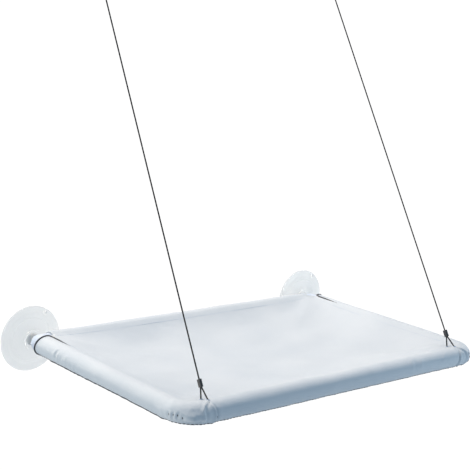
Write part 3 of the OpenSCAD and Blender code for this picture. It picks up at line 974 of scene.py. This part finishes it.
def under_shade_path():
    """The path of the left dark line of painted shade along the underside, sunk into the cloth at both ends.
    """
    shown = (strip_along > UNDER_SHADE_START) & (strip_along < leg_length)
    normals = line_at(strip_normals, UNDER_SHADE_AT)[shown]
    ends = np.minimum(strip_along[shown] - UNDER_SHADE_START, leg_length - strip_along[shown])
    lift = UNDER_SHADE_LIFT - UNDER_SHADE_SINK * (1 - smooth_step(ends, 0, UNDER_SHADE_RISE))
    return line_at(strip, UNDER_SHADE_AT)[shown] + lift[:, None] * normals


# Dark cords that paint the shadow gap at each sleeve's end and the shade along its underside
shade_cords = {}
for word, side in SIDES:
    tubes = [
        rope_tube(mirrored(path, side), r)
        for path, r in ((end_shade_path(), END_SHADE_R), (under_shade_path(), UNDER_SHADE_R))
    ]
    shade_cords[word] = add_trim(word + "_sleeve_shade_cords", tubes)

# Worked eyelets where the loops' strands come through the cloth
EYELET_R = 1.75
EYELET_T = 0.55
EYELET_POINTS = 36
EYELET_SIDES = 8
EYELET_BEADS = 18
EYELET_BEAD = 0.16
EYELET_LIFT = 0.2
EYELET_START = (0.2, 0.9, 0.1)


def eyelet(at, axis, side):
    """A ring of thread beads round an axis, given for the left and mirrored for the right."""
    axis = unit(axis)
    a = unit(np.cross(axis, EYELET_START))
    b = np.cross(axis, a)
    points = []
    faces = []
    for i in range(EYELET_POINTS):
        t = 2 * math.pi * i / EYELET_POINTS
        out = math.cos(t) * a + math.sin(t) * b
        bead = EYELET_T * (1 + EYELET_BEAD * math.cos(EYELET_BEADS * t))
        here = i * EYELET_SIDES
        there = (i + 1) % EYELET_POINTS * EYELET_SIDES
        for j in range(EYELET_SIDES):
            f = 2 * math.pi * j / EYELET_SIDES
            points.append(at + (EYELET_R + bead * math.cos(f)) * out + bead * math.sin(f) * axis)
            m = (j + 1) % EYELET_SIDES
            faces.append((here + j, there + j, there + m, here + m))
    if side < 0:
        faces = [tuple(reversed(f)) for f in faces]
    return mirrored(points, side).tolist(), faces


# Where a left loop's strands cross the cloth, from the cable's foot, and the way they go
FRONT_STRAND = np.array([0.0, 0.0, CLOTH_R + EYELET_T])
FRONT_WAY = np.array([0.0, 0.12, 1.0])
REAR_STRAND = np.array([0.35, 13.45, 0.0])
REAR_STRAND[2] = deck_height(*(CABLE_FOOT + REAR_STRAND)[:2]) + EYELET_LIFT
REAR_WAY = np.array([0.05, 0.3, 0.95])
eyelets = add_trim(
    "cable_eyelets",
    [
        eyelet(CABLE_FOOT + place, way, side)
        for _, side in SIDES
        for place, way in ((FRONT_STRAND, FRONT_WAY), (REAR_STRAND, REAR_WAY))
    ],
)


# Materials, all from nodes
class Nodes:
    """A material's node tree, with short calls to add and join nodes."""

    def __init__(self, name):
        self.material = bpy.data.materials.new(name)
        self.material.use_nodes = True
        self.tree = self.material.node_tree
        self.shader = self.tree.nodes["Principled BSDF"]

    def add(self, kind, **values):
        node = self.tree.nodes.new("ShaderNode" + kind)
        for key, value in values.items():
            if key in node.inputs:
                node.inputs[key].default_value = value
            else:
                setattr(node, key, value)
        return node

    def join(self, out, into):
        self.tree.links.new(out, into)

    def set(self, **values):
        for key, value in values.items():
            self.shader.inputs[key.replace("_", " ")].default_value = value

    def coords(self):
        return self.add("TexCoord").outputs["Object"]

    def noise(self, vector, scale, detail=3.0, roughness=0.5):
        node = self.add("TexNoise", Scale=scale, Detail=detail, Roughness=roughness)
        self.join(vector, node.inputs["Vector"])
        return node.outputs["Fac"]

    def math(self, operation, a, b=None):
        node = self.add("Math", operation=operation)
        for i, value in enumerate((a, b)):
            if value is None:
                continue
            if isinstance(value, (int, float)):
                node.inputs[i].default_value = value
            else:
                self.join(value, node.inputs[i])
        return node.outputs[0]

    def ramp(self, fac, stops):
        node = self.add("ValToRGB")
        band = node.color_ramp
        while len(band.elements) < len(stops):
            band.elements.new(0.5)
        for element, (place, colour) in zip(band.elements, stops):
            element.position = place
            element.color = (*colour, 1.0)
        self.join(fac, node.inputs["Fac"])
        return node.outputs["Color"]

    def span(self, fac, low, high):
        node = self.add("MapRange")
        node.inputs["To Min"].default_value = low
        node.inputs["To Max"].default_value = high
        self.join(fac, node.inputs["Value"])
        return node.outputs["Result"]

    def mix(self, fac, out, colour):
        """Mixes a plain colour into a colour from a node."""
        node = self.add("Mix", data_type="RGBA")
        self.join(fac, node.inputs[0])
        self.join(out, node.inputs[6])
        node.inputs[7].default_value = (*colour, 1.0)
        return node.outputs[2]

    def bump(self, height, distance, strength, after=None):
        node = self.add("Bump", Distance=distance, Strength=strength)
        self.join(height, node.inputs["Height"])
        if after is not None:
            self.join(after, node.inputs["Normal"])
        return node.outputs["Normal"]

    def base(self, out):
        self.join(out, self.shader.inputs["Base Color"])

    def rough(self, out):
        self.join(out, self.shader.inputs["Roughness"])

    def normal(self, out):
        self.join(out, self.shader.inputs["Normal"])


THREAD_PITCH = 0.00075


def cloth_material():
    """Plain weave along the UV lengths, with blotches, flecks and a soft crumple."""
    n = Nodes("cloth_weave")
    uv = n.add("UVMap", uv_map="weave").outputs["UV"]
    split = n.add("SeparateXYZ")
    n.join(uv, split.inputs[0])
    threads = 2 * math.pi / THREAD_PITCH
    warp = n.math("SINE", n.math("MULTIPLY", split.outputs[0], threads))
    weft = n.math("SINE", n.math("MULTIPLY", split.outputs[1], threads))
    weave_height = n.math("MULTIPLY", warp, weft)
    place = n.coords()
    blotch = n.noise(place, 9.0, 4.0)
    slub = n.noise(place, 260.0, 2.0)
    colour = n.ramp(
        blotch,
        [(0.30, (0.535, 0.598, 0.660)), (0.52, (0.565, 0.624, 0.680)), (0.74, (0.595, 0.650, 0.700))],
    )
    flecked = n.mix(n.span(slub, 0.0, 0.12), colour, (0.70, 0.76, 0.81))
    raised = n.math("ADD", n.math("MULTIPLY", weave_height, 0.5), 0.5)
    thread_shade = n.mix(n.span(raised, 0.0, 0.10), flecked, (0.46, 0.55, 0.66))
    n.base(thread_shade)
    n.rough(n.span(n.noise(place, 40.0, 3.0), 0.52, 0.70))
    crumple = n.noise(place, 55.0, 3.0, 0.55)
    soft = n.bump(crumple, 0.0012, 0.35)
    n.normal(n.bump(weave_height, 0.00012, 0.5, soft))
    n.set(Sheen_Weight=0.35, Sheen_Roughness=0.45, Specular_IOR_Level=0.35)
    return n.material


def thread_material(name, dark, light):
    n = Nodes(name)
    place = n.coords()
    twist = n.add("TexWave", Scale=900.0, Distortion=1.5)
    n.join(place, twist.inputs["Vector"])
    n.base(n.ramp(twist.outputs["Fac"], [(0.2, dark), (0.8, light)]))
    n.rough(n.span(n.noise(place, 300.0), 0.45, 0.65))
    n.normal(n.bump(twist.outputs["Fac"], 0.0001, 0.6))
    n.set(Sheen_Weight=0.3)
    return n.material


def cup_material():
    n = Nodes("soft_vinyl")
    place = n.coords()
    cloud = n.noise(place, 30.0, 4.0)
    n.base(n.ramp(cloud, [(0.3, (0.925, 0.940, 0.935)), (0.7, (0.955, 0.965, 0.960))]))
    dust = n.noise(place, 170.0, 5.0, 0.6)
    n.rough(n.span(dust, 0.38, 0.52))
    n.normal(n.bump(n.noise(place, 420.0, 3.0), 0.0002, 0.25))
    n.set(Transmission_Weight=0.55, IOR=1.32, Alpha=0.60)
    return n.material


def plastic_material(name, dark, light, low, high, grain, milky=0.0):
    n = Nodes(name)
    place = n.coords()
    n.base(n.ramp(n.noise(place, 22.0, 5.0), [(0.3, dark), (0.7, light)]))
    scuff = n.noise(place, 140.0, 6.0, 0.65)
    n.rough(n.span(scuff, low, high))
    n.normal(n.bump(n.noise(place, grain, 2.0), 0.00015, 0.3))
    n.set(Subsurface_Weight=milky, Subsurface_Radius=(1.0, 1.0, 1.0), Subsurface_Scale=0.012)
    return n.material


def metal_material(name, dark, light, low, high, scale, metallic=1.0):
    n = Nodes(name)
    place = n.coords()
    streak = n.add("Mapping")
    streak.inputs["Scale"].default_value = (1.0, 7.0, 1.0)
    n.join(place, streak.inputs["Vector"])
    n.base(n.ramp(n.noise(streak.outputs[0], scale, 5.0), [(0.25, dark), (0.75, light)]))
    n.rough(n.span(n.noise(place, scale * 3, 4.0), low, high))
    n.normal(n.bump(n.noise(streak.outputs[0], scale * 5, 3.0), 0.0001, 0.25))
    n.set(Metallic=metallic)
    return n.material


CLOTH = cloth_material()
THREAD = thread_material("thread", (0.36, 0.46, 0.60), (0.50, 0.60, 0.72))
# Near-black thread for the hem stitches, also used for the cords and line that paint shade at the sleeves'
# ends and undersides
DARK_THREAD_AND_SHADE = thread_material("dark_thread_and_shade", (0.014, 0.017, 0.025), (0.045, 0.052, 0.070))
CUP = cup_material()
FITTING = plastic_material("fitting_plastic", (0.52, 0.60, 0.72), (0.60, 0.68, 0.78), 0.30, 0.50, 700.0)
STUD = plastic_material("stud_plastic", (0.90, 0.94, 0.97), (0.94, 0.97, 0.99), 0.28, 0.46, 800.0, 0.9)
KNOB = plastic_material("knob_plastic", (0.80, 0.81, 0.82), (0.88, 0.885, 0.89), 0.28, 0.48, 900.0)
TUBE = plastic_material("tube_paint", (0.80, 0.81, 0.82), (0.86, 0.865, 0.87), 0.30, 0.48, 900.0)
ZINC = metal_material("zinc_plate", (0.52, 0.53, 0.55), (0.68, 0.69, 0.71), 0.24, 0.46, 160.0)
CRIMP = metal_material("crimped_sleeve", (0.05, 0.05, 0.053), (0.13, 0.13, 0.134), 0.30, 0.52, 300.0)
WIRE = metal_material("wire_strand", (0.010, 0.010, 0.011), (0.035, 0.035, 0.037), 0.40, 0.62, 400.0, 0.5)
BY_SLOT = {
    "tube": TUBE,
    "fitting": FITTING,
    "cloth": CLOTH,
    "cup": CUP,
    "stud": STUD,
    "zinc": ZINC,
    "knob": KNOB,
    "ferrule": CRIMP,
    "wire": WIRE,
}


def paint(piece, material):
    piece.data.materials.clear()
    piece.data.materials.append(material)


paint(cover, CLOTH)
paint(stitches, THREAD)
paint(hem_stitches_and_shade, DARK_THREAD_AND_SHADE)
paint(eyelets, THREAD)
for word, _ in SIDES:
    # the dark cords of painted shade at the sleeve's end and underside
    paint(shade_cords[word], DARK_THREAD_AND_SHADE)
    for piece in (cables[word], lower_loops[word], upper_eyes[word]):
        paint(piece, WIRE)
    for piece in (lower_ferrules[word], upper_ferrules[word]):
        paint(piece, CRIMP)
for part in frame["record"]["subparts"]:
    node = frame["nodes"][part["node"]]
    for slot in node.material_slots:
        slot.material = BY_SLOT[part["material_slot"]]

# Floor, backdrop and light
FLOOR_Z = -3.5
FLOOR_HALF = 80.0
FLOOR_GLOW = 0.06
BACKDROP_AT = 4.3
BACKDROP_HALF = 3.5
BACKDROP_TOP = 1.6
BACKDROP_GLOW = 1.03
# Square lamps, as (name, place, target, watts, colour, size)
LAMPS = (
    ("key", (-0.18, 1.45, 3.50), (0.0, -0.2, 0.0), 194.0, (1.0, 0.855, 0.735), 1.05),
    ("side_fill", (-2.4, 0.9, -0.2), (0.0, -0.2, 0.0), 38.0, (1.0, 0.92, 0.80), 1.2),
    ("front_fill", (0.9, -1.0, -0.1), (0.25, -0.36, 0.0), 3.6, (0.82, 0.93, 1.0), 0.6),
)
SKY_COLOUR = (0.629, 0.819, 1.0, 1.0)
SKY_STRENGTH = 0.469


def make_stage(name, corners, material):
    mesh = bpy.data.meshes.new(name)
    mesh.from_pydata([tuple(c) for c in corners], [], [(0, 1, 2, 3)])
    piece = bpy.data.objects.new(name, mesh)
    scene.collection.objects.link(piece)
    mesh.materials.append(material)


def make_floor():
    n = Nodes("floor_paint")
    n.base(n.ramp(n.noise(n.coords(), 0.6, 2.0), [(0.3, (0.68, 0.72, 0.76)), (0.7, (0.71, 0.75, 0.79))]))
    n.set(Roughness=0.9, Specular_IOR_Level=0.1)
    n.set(Emission_Color=(0.80, 0.91, 1.0, 1.0), Emission_Strength=FLOOR_GLOW)
    h = FLOOR_HALF
    make_stage("floor", [(-h, -h, FLOOR_Z), (h, -h, FLOOR_Z), (h, h, FLOOR_Z), (-h, h, FLOOR_Z)], n.material)


def make_backdrop():
    """A lit white panel behind the object, square to the camera."""
    n = Nodes("backdrop_panel")
    n.set(Base_Color=(0.02, 0.02, 0.02, 1.0), Roughness=1.0, Specular_IOR_Level=0.0)
    n.set(Emission_Color=(1.0, 1.0, 1.0, 1.0), Emission_Strength=BACKDROP_GLOW)
    ahead = Vector((CAMERA_AIM.x, CAMERA_AIM.y, 0)).normalized()
    across = Vector((ahead.y, -ahead.x, 0))
    foot = ahead * BACKDROP_AT + Vector((0, 0, FLOOR_Z))
    left, right = foot - across * BACKDROP_HALF, foot + across * BACKDROP_HALF
    top = Vector((0, 0, BACKDROP_TOP - FLOOR_Z))
    make_stage("backdrop", [left, right, right + top, left + top], n.material)


def make_light(name, place, target, strength, colour, size):
    data = bpy.data.lights.new(name, "AREA")
    data.energy = strength
    data.color = colour
    data.shape = "SQUARE"
    data.size = size
    light = bpy.data.objects.new(name, data)
    light.location = place
    light.rotation_euler = (Vector(target) - Vector(place)).to_track_quat("-Z", "Y").to_euler()
    scene.collection.objects.link(light)


make_floor()
make_backdrop()
for lamp in LAMPS:
    make_light(*lamp)
world = bpy.data.worlds.new("studio")
world.use_nodes = True
sky = world.node_tree.nodes["Background"]
sky.inputs["Color"].default_value = SKY_COLOUR
sky.inputs["Strength"].default_value = SKY_STRENGTH
scene.world = world
